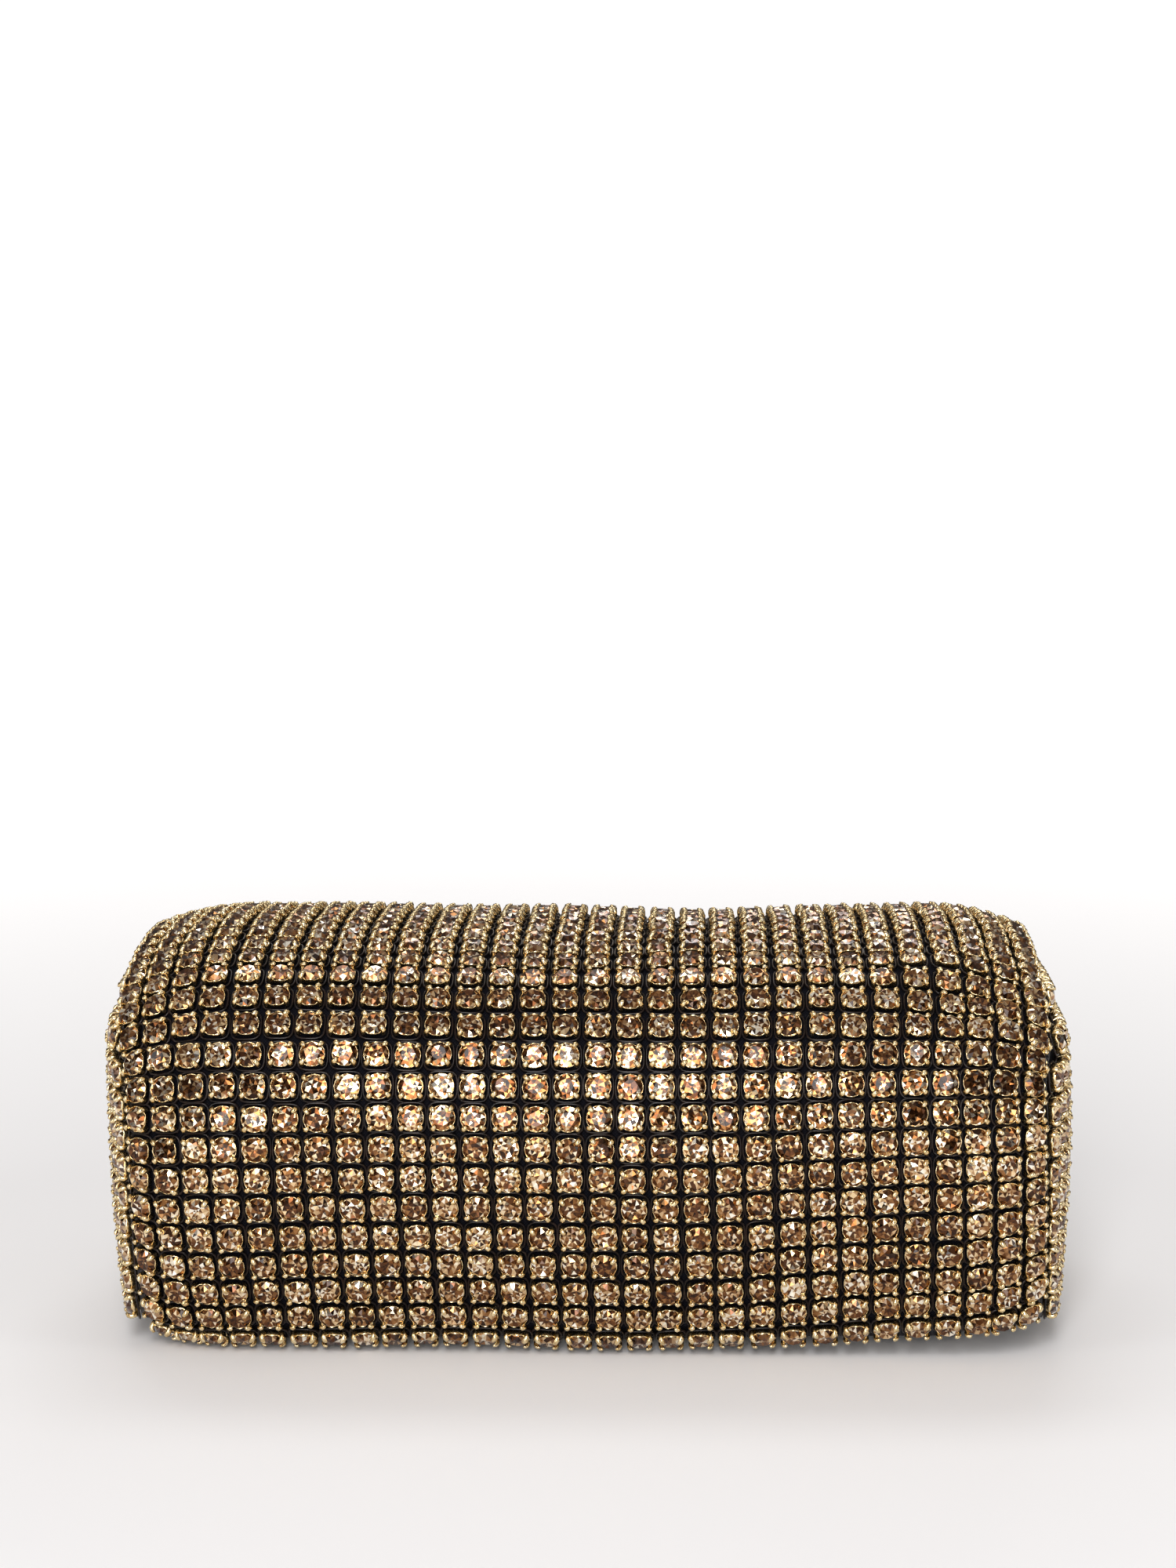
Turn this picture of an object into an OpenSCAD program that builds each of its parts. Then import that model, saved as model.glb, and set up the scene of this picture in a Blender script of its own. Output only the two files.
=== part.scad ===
// Evening bag: a rhinestone-mesh box bag with a full-front flap, hinged along the back top edge.
// Front is -Y, +X is to the right, and the bag stands on z = 0.
// Every wall follows one side profile, measured along the outside of the net, from the bottom-front
// edge up the front, over the top and down the back. Layers are offsets of that profile.

/* [Stones] */
// Distance between neighbouring stones
pitch = 6; // [5.5:0.1:6.5]
// Radius of a stone cup
cup_r = 2.4; // [2.0:0.1:2.5]
// Height of a stone cup above the net
cup_h = 2; // [1.6:0.1:2.4]
// Height of a stone above its cup
stone_h = 1; // [0.8:0.1:1.2]
// Columns of stones across the front
columns = 30; // [26:2:32]

/* [Side profile] */
// Radius of the bottom edges
bottom_r = 8.3; // [7:0.1:9]
// Radius of the crowned front
front_r = 80; // [70:1:90]
// Radius of the rounded top-front edge
edge_r = 30; // [26:1:32]
// Radius of the crowned top
top_r = 114; // [100:1:130]
// Radius of the back top edge
back_edge_r = 12; // [11:0.5:14]
// Radius by which the panels roll in at their sides
side_r = 45; // [40:1:60]

/* [Layers] */
// Thickness of the net and its backing cloth
mesh_t = 0.8; // [0.6:0.1:1.0]
// Thickness of a stiffening board
board_t = 1.3; // [1.0:0.1:1.6]
// Thickness of a lining
lining_t = 0.4; // [0.3:0.1:0.5]
// Space between the closed flap and the inner front wall
flap_gap = 2.2; // [2.0:0.1:2.6]
// Thickness of the pad under the base
pad_t = 2.8; // [2.7:0.1:3.4]

/* [Magnetic snaps] */
// Radius of a snap disc
snap_r = 7; // [6:0.5:8]
// Distance of each snap from the middle
snap_x = 46; // [36:1:56]

/* [Hidden] */
$fn = 48;
black = "#17151a";
satin = "#1f1c22";
board_grey = "#8d8779";
gold = "#d3a84f";
topaz = "#d9a96c";
steel = "#b9b7b0";

// Where the outward direction of the profile turns from one arc to the next, in degrees:
// -90 faces down, 0 faces front, 90 faces up, 180 faces back, 270 faces down again.
front_from = -23.5;
edge_from = 6;
top_from = 75;
back_edge_from = 102;
back_from = 174;
back_to = 192;

// Height of the net above the base plane at the end of the back top edge, and the back's radius from it
function arc_rise(a, b, r) = r * (sin(b) - sin(a));
z_back_from = arc_rise(-90, front_from, bottom_r) + arc_rise(front_from, edge_from, front_r)
  + arc_rise(edge_from, top_from, edge_r) + arc_rise(top_from, back_edge_from, top_r)
  + arc_rise(back_edge_from, back_from, back_edge_r);
back_r = (z_back_from + arc_rise(back_to, 270, bottom_r)) / (sin(back_from) - sin(back_to));
arcs = [
  [-90, front_from, bottom_r], [front_from, edge_from, front_r], [edge_from, top_from, edge_r],
  [top_from, back_edge_from, top_r], [back_edge_from, back_from, back_edge_r],
  [back_from, back_to, back_r], [back_to, 270, bottom_r]
];

function arc_len(a) = (a[1] - a[0]) * PI / 180 * a[2];
function arc_run(a, b, r) = r * (cos(a) - cos(b));
// Length along the profile up to the start of arc i
function start_s(i) = i == 0 ? 0 : start_s(i - 1) + arc_len(arcs[i - 1]);
function start_y(i) = i == 0 ? 0 : start_y(i - 1) + arc_run(arcs[i - 1][0], arcs[i - 1][1], arcs[i - 1][2]);
function start_z(i) = i == 0 ? 0 : start_z(i - 1) + arc_rise(arcs[i - 1][0], arcs[i - 1][1], arcs[i - 1][2]);
starts = [for (i = [0:len(arcs)]) i < len(arcs) ? start_s(i) : start_s(i - 1) + arc_len(arcs[i - 1])];
ys = [for (i = [0:len(arcs) - 1]) start_y(i)];
zs = [for (i = [0:len(arcs) - 1]) start_z(i)];
function arc_of(s, i = 0) = i >= len(arcs) - 1 || s < starts[i + 1] ? i : arc_of(s, i + 1);
function facing(s) = let (i = arc_of(s)) arcs[i][0] + (s - starts[i]) / arcs[i][2] * 180 / PI;

// The net's frontmost and rearmost places are the same distance from y = 0
y_front = ys[1] + arc_run(front_from, 0, front_r);
y_back = ys[5] + arc_run(back_from, 180, back_r);
y_shift = -(y_front + y_back) / 2;
function prof_y(s) = let (i = arc_of(s)) y_shift + ys[i] + arc_run(arcs[i][0], facing(s), arcs[i][2]);
function prof_z(s) = let (i = arc_of(s)) pad_t + zs[i] + arc_rise(arcs[i][0], facing(s), arcs[i][2]);

// Across a panel: flat in the middle, then rolled in. u is measured along the net from the middle.
// The last three columns on each side stand closer together, on the part that rolls in.
edge_pitch = 5.6;
edge_columns = 3.5;
flat_columns = columns / 2 - edge_columns;
flat_half = flat_columns * pitch;
panel_half = flat_half + edge_columns * edge_pitch;
function column_u(c) = let (n = c - (columns - 1) / 2, a = abs(n))
  sign(n) * (a <= flat_columns ? a * pitch : flat_half + (a - flat_columns) * edge_pitch);
function roll(u) = abs(u) <= flat_half ? 0 : sign(u) * (abs(u) - flat_half) / side_r * 180 / PI;
function across_x(u, h) = abs(u) <= flat_half ? u : sign(u) * flat_half + (side_r + h) * sin(roll(u));
function across_sink(u, h) = (side_r + h) * (1 - cos(roll(u)));

// Half the width of the panels at s: their bottom corners are rounded
corner_r = 8;
corner_s = 10;
corner_reach = 7.8;
function half_at(s, half) = let (t = min(max(0, corner_s - s, s - starts[7] + corner_s), corner_reach))
  half - corner_r + sqrt(corner_r * corner_r - t * t);

// The end stones of a row that is cut by the corners move in, and the next two follow a little
corner_pull = 0.6;
corner_columns = 2;
function tucked_u(s, u) = let (from = panel_half - (corner_columns + 0.5) * edge_pitch,
    share = max(0, (abs(u) - from) / (corner_columns * edge_pitch)))
  u - sign(u) * corner_pull * share * (panel_half - half_at(s, panel_half));

// A point of the panel: s along the profile, u across, h outward from the net (negative is inward).
// Below the front's crown a stiff panel runs on straight, while the soft bottom edge turns under.
// Where the panel rolls in, it sinks along the facing of the front's crown or of its own place above it.
function panel_point(s, u, h, soft) = let (q = soft ? s : max(s, starts[1]), f = facing(q),
  g = facing(max(s, starts[1])), sink = across_sink(u, h))
  [
    across_x(u, h),
    prof_y(q) - h * cos(f) + sink * cos(g) + (s - q) * sin(f),
    prof_z(q) + h * sin(f) - sink * sin(g) + (s - q) * cos(f)
  ];

// A thin curved panel between two heights, as one closed skin
module panel(s_list, half, h_out, h_in, soft = false) {
  rolled = half > flat_half;
  stops = rolled ? [for (i = [0:roll_steps]) i / roll_steps] : [1];
  shares = concat([for (i = [len(stops) - 1:-1:0]) -stops[i] - 1], [for (v = stops) v + 1]);
  nu = len(shares);
  ns = len(s_list);
  n = nu * ns;
  function share_u(v, w) = sign(v) * (rolled ? flat_half + (abs(v) - 1) * (w - flat_half) : w);
  points = [for (h = [h_out, h_in]) for (s = s_list) for (v = shares)
    panel_point(s, share_u(v, half_at(s, half)), h, soft)];
  skins = [for (j = [0:ns - 2]) for (i = [0:nu - 2]) let (a = j * nu + i)
    each [[a, a + nu, a + nu + 1], [a, a + nu + 1, a + 1],
      [n + a, n + a + nu + 1, n + a + nu], [n + a, n + a + 1, n + a + nu + 1]]];
  rim = concat([for (i = [0:nu - 1]) i], [for (j = [1:ns - 1]) j * nu + nu - 1],
    [for (i = [nu - 2:-1:0]) (ns - 1) * nu + i], [for (j = [ns - 2:-1:1]) j * nu]);
  m = len(rim);
  edges = [for (i = [0:m - 1]) let (a = rim[i], b = rim[(i + 1) % m])
    each [[a, b, n + b], [a, n + b, n + a]]];
  polyhedron(points, concat(skins, edges));
}

// Rows of stones: row 0 is on the bottom edge, rows 1 to 12 are on the flap's front, 13 to 23 on its top
first_row_s = 4.66;
front_rows = 12;
top_rows = 23;
back_rows = 11;
row_margin = 2.7;
hinge_gap = 4.2;
crease_gap = 0.25;
function row_s(k) = first_row_s + k * pitch;
flap_low_s = row_s(0.57);
hem_s = flap_low_s - 0.35;
crease_s = row_s(front_rows + 0.5);
flap_end_s = row_s(top_rows) + row_margin;
back_end_s = flap_end_s + hinge_gap;
back_row_s = back_end_s + row_margin;
back_low_s = starts[6] + 8.6;
wall_top_s = starts[2] + 14;
wall_low_s = 5.2;
binding_w = 1.6;
snap_s = row_s(2.5);

// Even steps along the profile from a to b, at most step apart, and the same without the first
function steps(a, b, step) = concat([a], steps_after(a, b, step));
function steps_after(a, b, step) = let (n = ceil((b - a) / step)) [for (i = [1:n]) a + (b - a) * i / n];
fine = 1.2;
close = 4.5;
medium = 7;
wide = 9;
// The bottom edge's board stops one step short of its net, clear of the flap's hem
bottom_steps = steps(0.3, row_s(0) + cup_r, fine);
bottom_board_steps = [for (i = [0:len(bottom_steps) - 2]) bottom_steps[i]];
front_steps = concat([flap_low_s], steps(starts[1], starts[2], medium),
  steps_after(starts[2], crease_s - crease_gap, medium));
top_steps = concat([crease_s + crease_gap], steps(starts[3], starts[4], wide),
  steps_after(starts[4], flap_end_s, close));
back_arc_steps = steps(starts[5], starts[6], wide);
back_steps = concat([back_end_s], back_arc_steps, steps_after(starts[6], back_low_s, close));
pocket_steps = [for (i = [2:len(back_arc_steps) - 1]) back_arc_steps[i]];
wall_steps = concat([wall_low_s], steps(starts[1], starts[2], medium),
  steps_after(starts[2], wall_top_s, medium));

// Depths of the layers, inward from the net
flap_board_in = -mesh_t - board_t;
flap_in = flap_board_in - lining_t;
wall_out = flap_in - flap_gap;
cover_t = lining_t;
wall_board_out = wall_out - cover_t;
wall_board_in = wall_board_out - board_t;
wall_in = wall_board_in - lining_t;

// Sides of the body: gussets set inside the rolled edges, crowned by a large sphere
gusset_x = 93;
gusset_r = 400;
gusset_front_inset = 7.2;
gusset_back_inset = 6.6;
gusset_y = (gusset_front_inset - gusset_back_inset) / 2;
gusset_z = 43.7;
gusset_foot_z = pad_t + 2;
gusset_foot_front = 1;
gusset_foot_back = 3;
rim_x = 84.4;
rim_t = 0.8;

// Facets of a panel's rolled side, and the half widths of the smaller panels
roll_steps = 3;
wall_half = flat_half + 17;
pocket_half = flat_half - 14;
band_half = panel_half - 2;

// Small thicknesses and gaps: the pocket, the hinge band, the hem and the snaps
pocket_t = 0.6;
band_t = 0.5;
band_gap = 0.4;
band_depth = 0.2;
hem_proud = 0.2;
socket_t = 1.2;
socket_sunk = 0.3;
stud_t = 0.9;
stud_room = 0.1;

// A stone's girdle and table, and how far a cup may stand out past its panel's edge
stone_r = cup_r - 0.25;
table_r = cup_r / 2;
overhang = 0.6;

// Base plates: their outline's half width and its front and back edges
base_half = flat_half + 13.4;
base_front = y_shift;
base_back = prof_y(starts[7]);
pad_inset = 3;
board_inset = 0.4;
base_lining_inset = 1;

// Stones and cups

module at_stone(s, u) {
  translate(panel_point(s, u, 0, true))
    rotate([90 - facing(s), 0, 0])
      rotate([0, roll(u), 0])
        children();
}

module cup() {
  cylinder(r = cup_r, h = cup_h, $fn = 24);
}

module stone() {
  translate([0, 0, cup_h])
    cylinder(r1 = stone_r, r2 = table_r, h = stone_h, $fn = 24);
}

module rows_of(s_list) {
  for (s = s_list)
    for (c = [0:columns - 1])
      if (abs(tucked_u(s, column_u(c))) < half_at(s, panel_half) - cup_r + overhang)
        at_stone(s, tucked_u(s, column_u(c)))
          children();
}

flap_front_rows_s = [for (k = [1:front_rows]) row_s(k)];
flap_top_rows_s = [for (k = [front_rows + 1:top_rows]) row_s(k)];
back_rows_s = [for (k = [0:back_rows]) back_row_s + k * pitch];

// Base

// A flat plate with round corners, in by inset from the base's outline
base_corner = 12;
module base_plate(inset, z, t) {
  r = base_corner;
  half = base_half - inset;
  y0 = base_front + inset;
  y1 = base_back - inset;
  translate([0, 0, z])
    linear_extrude(t) {
      translate([-half + r, y0])
        square([2 * half - 2 * r, y1 - y0]);
      translate([-half, y0 + r])
        square([2 * half, y1 - y0 - 2 * r]);
      for (x = [-half + r, half - r])
        for (y = [y0 + r, y1 - r])
          translate([x, y])
            circle(r);
    }
}

module base_pad() {
  color(black)
    base_plate(pad_inset, 0, pad_t);
}

module base_board() {
  color(board_grey)
    base_plate(board_inset, pad_t, board_t);
}

module base_lining() {
  color(satin)
    base_plate(base_lining_inset, pad_t + board_t, lining_t);
}

module bottom_edge_mesh() {
  color(black)
    panel(bottom_steps, panel_half, 0, -mesh_t, true);
}

module bottom_edge_board() {
  color(board_grey)
    panel(bottom_board_steps, panel_half, -mesh_t, flap_board_in, true);
}

module bottom_edge_cups() {
  color(gold)
    rows_of([row_s(0)])
      cup();
}

module bottom_edge_stones() {
  color(topaz)
    rows_of([row_s(0)])
      stone();
}

// Inner front wall, behind the flap

module front_wall_board() {
  color(board_grey)
    panel(wall_steps, wall_half, wall_board_out, wall_board_in);
}

module front_wall_cover() {
  color(satin)
    panel(wall_steps, wall_half, wall_out, wall_board_out);
}

module front_wall_lining() {
  color(satin)
    panel(wall_steps, wall_half, wall_board_in, wall_in);
}

module mouth_binding() {
  color(black)
    panel([wall_top_s, wall_top_s + binding_w], wall_half, wall_out, wall_in);
}

// A snap disc of thickness t from height h0 over the net, on either side of the middle
module snap_disc(side, h0, t) {
  at_stone(snap_s, side * snap_x)
    translate([0, 0, h0])
      cylinder(r = snap_r, h = t);
}

module snap_socket(side) {
  color(steel)
    snap_disc(side, wall_out - socket_sunk, socket_t);
}

module left_snap_socket() {
  snap_socket(-1);
}

module right_snap_socket() {
  snap_socket(1);
}

// Back

module back_board() {
  color(board_grey)
    panel(back_steps, panel_half, -mesh_t, flap_board_in);
}

module back_mesh() {
  color(black)
    panel(back_steps, panel_half, 0, -mesh_t);
}

module back_lining() {
  color(satin)
    panel(back_steps, panel_half, flap_board_in, flap_in);
}

module back_cups() {
  color(gold)
    rows_of(back_rows_s)
      cup();
}

module back_stones() {
  color(topaz)
    rows_of(back_rows_s)
      stone();
}

module slip_pocket() {
  color(satin)
    panel(pocket_steps, pocket_half, flap_in, flap_in - pocket_t);
}

// Gussets

// The gusset's outline in the side plane, in from the net all round, and a further inset of it
gusset_steps = concat(steps(starts[1], starts[3], close + 1.5), steps_after(starts[3], starts[4], wide),
  steps_after(starts[4], starts[5], wide), steps_after(starts[5], starts[6], wide));
function gusset_inset(s) = s < starts[4] ? gusset_front_inset : gusset_back_inset;
function inset_point(s, d) = [prof_y(s) + d * cos(facing(s)), prof_z(s) - d * sin(facing(s))];
function gusset_outline(inset) = concat([for (s = gusset_steps) inset_point(s, gusset_inset(s) + inset)],
  [
    [base_back - gusset_foot_back - inset, gusset_foot_z + inset],
    [base_front + gusset_foot_front + inset, gusset_foot_z + inset]
  ]);

// Well inside the whole of a gusset's crown
gusset_in_x = gusset_x - 16;

// A side-plane outline extruded sideways, from x out past the crown
module gusset_block(side, x) {
  mirror([side < 0 ? 1 : 0, 0, 0])
    translate([x, 0, 0])
      rotate([90, 0, 90])
        linear_extrude(gusset_x + 1 - x)
          children();
}

// A crowned plate between two depths inward from the gusset's outside
module gusset_plate(side, d_out, d_in) {
  intersection() {
    gusset_block(side, gusset_in_x)
      polygon(gusset_outline(0));
    difference() {
      gusset_ball(side, -d_out);
      gusset_ball(side, -d_in);
    }
  }
}

// The gusset's edge, turned inward all round to meet the walls and to bind the mouth's ends
module gusset_rim(side) {
  color(black)
    intersection() {
      gusset_block(side, rim_x)
        difference() {
          polygon(gusset_outline(0));
          polygon(gusset_outline(rim_t));
        }
      gusset_ball(side, flap_in);
    }
}

module gusset_ball(side, h) {
  translate([side * (gusset_x - gusset_r), gusset_y, gusset_z])
    sphere(r = gusset_r + h, $fn = 128);
}

// Stones stand in level rows. The end stone of each row keeps to the outline, and the ones
// before it ease back to the even pitch of the middle
gusset_edge = 1;
gusset_up = 6;
gusset_eased = 4;
gusset_line = gusset_outline(0);
function line_end(i) = gusset_line[(i + 1) % len(gusset_line)];
function crossings(z) = [for (i = [0:len(gusset_line) - 1]) let (a = gusset_line[i], b = line_end(i))
  if (a[1] != b[1] && (a[1] - z) * (b[1] - z) <= 0) a[0] + (b[0] - a[0]) * (z - a[1]) / (b[1] - a[1])];
function row_reach(ends, way) = (way > 0 ? max(ends) - gusset_y : gusset_y - min(ends)) - gusset_edge;
function row_count(reach) = round(reach / pitch + 0.5);
function row_off(k, reach) = let (n = row_count(reach), ease = (k - n + 1 + gusset_eased) / gusset_eased)
  (k + 0.5) * pitch + (reach - (n - 0.5) * pitch) * max(0, ease);
gusset_grid = [for (j = [-gusset_up:gusset_up]) let (z = gusset_z + j * pitch, ends = crossings(z))
  if (len(ends) > 1) for (way = [-1, 1]) let (reach = row_reach(ends, way))
    for (k = [0:row_count(reach) - 1]) [gusset_y + way * row_off(k, reach), z]];

module gusset_rows(side) {
  for (p = gusset_grid) {
    dy = p[0] - gusset_y;
    dz = p[1] - gusset_z;
    lean_y = asin(dy / gusset_r);
    lean_z = asin(dz / gusset_r / cos(lean_y));
    translate([side * (gusset_x - gusset_r), gusset_y, gusset_z])
      rotate([0, 0, side > 0 ? lean_y : 180 - lean_y])
        rotate([0, 90 - lean_z, 0])
          translate([0, 0, gusset_r])
            children();
  }
}

module gusset_board(side) {
  color(board_grey)
    gusset_plate(side, mesh_t, -flap_board_in);
}

module gusset_mesh(side) {
  color(black)
    gusset_plate(side, 0, mesh_t);
}

module gusset_lining(side) {
  color(satin)
    gusset_plate(side, -flap_board_in, -flap_in);
}

module gusset_cups(side) {
  color(gold)
    gusset_rows(side)
      cup();
}

module gusset_stones(side) {
  color(topaz)
    gusset_rows(side)
      stone();
}

// Flap

module hinge_band() {
  color(black)
    panel(steps(flap_end_s + band_gap, back_end_s, fine), band_half, -band_depth, -band_depth - band_t);
}

module flap_top_board() {
  color(board_grey)
    panel(top_steps, panel_half, -mesh_t, flap_board_in);
}

module flap_top_mesh() {
  color(black)
    panel(top_steps, panel_half, 0, -mesh_t);
}

module flap_top_lining() {
  color(satin)
    panel(top_steps, panel_half, flap_board_in, flap_in);
}

module flap_top_cups() {
  color(gold)
    rows_of(flap_top_rows_s)
      cup();
}

module flap_top_stones() {
  color(topaz)
    rows_of(flap_top_rows_s)
      stone();
}

module flap_front_board() {
  color(board_grey)
    panel(front_steps, panel_half, -mesh_t, flap_board_in);
}

module flap_front_mesh() {
  color(black)
    panel(front_steps, panel_half, 0, -mesh_t);
}

module flap_front_lining() {
  color(satin)
    panel(front_steps, panel_half, flap_board_in, flap_in);
}

module flap_front_cups() {
  color(gold)
    rows_of(flap_front_rows_s)
      cup();
}

module flap_front_stones() {
  color(topaz)
    rows_of(flap_front_rows_s)
      stone();
}

module flap_hem() {
  color(black)
    panel([hem_s, flap_low_s], panel_half, hem_proud, flap_in);
}

module snap_stud(side) {
  color(steel)
    snap_disc(side, flap_in - stud_room - stud_t, stud_t);
}

module left_snap_stud() {
  snap_stud(-1);
}

module right_snap_stud() {
  snap_stud(1);
}

module left_gusset_board() {
  gusset_board(-1);
}

module left_gusset_mesh() {
  gusset_mesh(-1);
}

module left_gusset_lining() {
  gusset_lining(-1);
}

module left_gusset_rim() {
  gusset_rim(-1);
}

module left_gusset_cups() {
  gusset_cups(-1);
}

module left_gusset_stones() {
  gusset_stones(-1);
}

module right_gusset_board() {
  gusset_board(1);
}

module right_gusset_mesh() {
  gusset_mesh(1);
}

module right_gusset_lining() {
  gusset_lining(1);
}

module right_gusset_rim() {
  gusset_rim(1);
}

module right_gusset_cups() {
  gusset_cups(1);
}

module right_gusset_stones() {
  gusset_stones(1);
}

base_pad();
base_board();
base_lining();
bottom_edge_board();
bottom_edge_mesh();
bottom_edge_cups();
bottom_edge_stones();
front_wall_board();
front_wall_cover();
front_wall_lining();
mouth_binding();
left_snap_socket();
right_snap_socket();
back_board();
back_mesh();
back_lining();
back_cups();
back_stones();
slip_pocket();
left_gusset_board();
left_gusset_mesh();
left_gusset_lining();
left_gusset_rim();
left_gusset_cups();
left_gusset_stones();
right_gusset_board();
right_gusset_mesh();
right_gusset_lining();
right_gusset_rim();
right_gusset_cups();
right_gusset_stones();
hinge_band();
flap_top_board();
flap_top_mesh();
flap_top_lining();
flap_top_cups();
flap_top_stones();
flap_front_board();
flap_front_mesh();
flap_front_lining();
flap_front_cups();
flap_front_stones();
flap_hem();
left_snap_stud();
right_snap_stud();
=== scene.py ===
"""Looks of a rhinestone-mesh evening bag: golden stones in four-prong cups on a black ring net,
over stiff boards, with satin linings, bound edges and magnetic snaps. Lengths are in millimetres
until build() turns them into metres."""

import math

import bpy
import numpy as np
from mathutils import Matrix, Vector

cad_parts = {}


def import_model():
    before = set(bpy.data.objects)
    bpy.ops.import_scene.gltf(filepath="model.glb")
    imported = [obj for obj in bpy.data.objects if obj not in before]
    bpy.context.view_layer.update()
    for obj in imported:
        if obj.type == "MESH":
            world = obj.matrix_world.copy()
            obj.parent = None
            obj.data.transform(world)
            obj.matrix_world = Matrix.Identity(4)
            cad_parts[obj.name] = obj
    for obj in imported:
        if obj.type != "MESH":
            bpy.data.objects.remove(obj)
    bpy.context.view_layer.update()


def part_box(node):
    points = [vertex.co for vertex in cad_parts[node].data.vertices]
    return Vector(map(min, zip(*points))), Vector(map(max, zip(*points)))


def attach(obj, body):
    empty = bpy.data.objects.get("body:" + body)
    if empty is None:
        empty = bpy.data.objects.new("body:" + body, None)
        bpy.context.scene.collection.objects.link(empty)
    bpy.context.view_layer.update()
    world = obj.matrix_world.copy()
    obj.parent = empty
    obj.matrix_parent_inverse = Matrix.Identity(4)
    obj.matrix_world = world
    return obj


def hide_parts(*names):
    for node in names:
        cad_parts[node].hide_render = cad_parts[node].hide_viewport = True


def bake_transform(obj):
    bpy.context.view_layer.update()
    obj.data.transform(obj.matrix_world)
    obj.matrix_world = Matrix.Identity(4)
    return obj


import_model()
rng = np.random.default_rng(7)

MM = 0.001

# ---------------------------------------- design of the bag, in millimetres
# Places on a panel: s runs along the side profile from the front's low edge, over the top and down the
# back; u runs across from the middle; h is outward from the net, so depths are negative.
PITCH = 6.0
EDGE_PITCH = 5.6  # the columns near each side stand closer
COLUMNS = 30
EDGE_COLUMNS = 3.5  # of them on each side
FRONT_ROWS = 12
TOP_ROWS = 11
BACK_ROWS = 12
SIDES = ((-1, "left"), (1, "right"))
CUP_R = 2.4
STONE_OVERHANG = 0.6  # of a cup past its panel's edge
BASE_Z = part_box("base_pad")[1].z / MM
SIDE_R = 45.0  # roll of a panel's sides
EDGE_R = 20.0  # tighter roll down the front's edges, from EDGE_ROLL_U outward
EDGE_ROLL_U = 79.0
MESH_T = 0.8
BOARD_T = 1.3
LINING_T = 0.4
FLAP_GAP = 2.2  # between the flap's lining and the inner wall
CORNER_R = 8.0  # a panel's bottom corners, from CORNER_S above its end
CORNER_S = 10.0
CORNER_REACH = 7.8  # the corner's arc stops a little short of a full quarter
CORNER_PULL = 0.6  # how far the last CORNER_COLUMNS of a cut row follow the corner in
CORNER_COLUMNS = 2
MESH_IN = -MESH_T
BOARD_IN = MESH_IN - BOARD_T
FLAP_IN = -(MESH_T + BOARD_T + LINING_T)
WALL_OUT = FLAP_IN - FLAP_GAP
WALL_IN = WALL_OUT - 2 * LINING_T - BOARD_T
FLAT_COLUMNS = COLUMNS / 2 - EDGE_COLUMNS
FLAT_HALF = FLAT_COLUMNS * PITCH
EDGE_HALF = FLAT_HALF + EDGE_COLUMNS * EDGE_PITCH
BOTTOM_BOARD_HALF = FLAT_HALF + 14
WALL_HALF = FLAT_HALF + 17
POCKET_HALF = FLAT_HALF - 14


def arc_rise(a, b, r):
    """Height gained on an arc of radius r between two facings, in degrees."""
    return r * (np.sin(np.radians(b)) - np.sin(np.radians(a)))


def arc_run(a, b, r):
    """Way gained to the back on the same arc."""
    return r * (np.cos(np.radians(a)) - np.cos(np.radians(b)))


def side_arcs():
    """Arcs of the side profile: facing from, facing to (degrees, 0 faces front), radius."""
    known = [(-90, -23.5, 8.3), (-23.5, 6, 80), (6, 75, 30), (75, 102, 114), (102, 174, 12)]
    last = (192, 270, 8.3)
    a, b = known[-1][1], last[0]
    # the back's radius closes the profile
    rise = sum(arc_rise(*arc) for arc in known + [last])
    back_r = rise / (math.sin(math.radians(a)) - math.sin(math.radians(b)))
    return known + [(a, b, back_r), last]


ARCS = side_arcs()
START_S = np.cumsum([0] + [math.radians(b - a) * r for a, b, r in ARCS])
START_Y = np.cumsum([0] + [arc_run(*a) for a in ARCS])
START_Z = np.cumsum([0] + [arc_rise(*a) for a in ARCS])
FRONT_Y = START_Y[1] + arc_run(ARCS[1][0], 0, ARCS[1][2])
BACK_Y = START_Y[5] + arc_run(ARCS[5][0], 180, ARCS[5][2])
SHIFT_Y = -(FRONT_Y + BACK_Y) / 2
FIRST_ROW_S = 4.66


def profile(s):
    """y, z and facing (radians) of the net at s, running on straight past the first and last arcs."""
    s = np.asarray(s, float)
    q = np.clip(s, 0.0, START_S[-1] - 1e-6)
    i = np.searchsorted(START_S, q, side="right") - 1
    a = np.array([arc[0] for arc in ARCS])[i]
    r = np.array([arc[2] for arc in ARCS])[i]
    f = a + np.degrees((q - START_S[i]) / r)
    y = SHIFT_Y + START_Y[i] + arc_run(a, f, r)
    z = BASE_Z + START_Z[i] + arc_rise(a, f, r)
    f = np.radians(f)
    return y + (s - q) * np.sin(f), z + (s - q) * np.cos(f), f


def row_s(k):
    """s of the front's row k; row 0 is the bottom edge's."""
    return FIRST_ROW_S + PITCH * k


def column_u(c):
    """u of column c, counted from the left."""
    n = c - (COLUMNS - 1) / 2
    a = abs(n)
    return math.copysign(a * PITCH if a <= FLAT_COLUMNS else FLAT_HALF + (a - FLAT_COLUMNS) * EDGE_PITCH, n)


def half_at(s, half=EDGE_HALF):
    """Half width of a panel at s: its bottom corners are rounded."""
    s = np.asarray(s, float)
    t = np.maximum(np.maximum(CORNER_S - s, s - START_S[7] + CORNER_S), 0)
    t = np.minimum(t, CORNER_REACH)
    return half - CORNER_R + np.sqrt(CORNER_R ** 2 - t ** 2)


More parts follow.
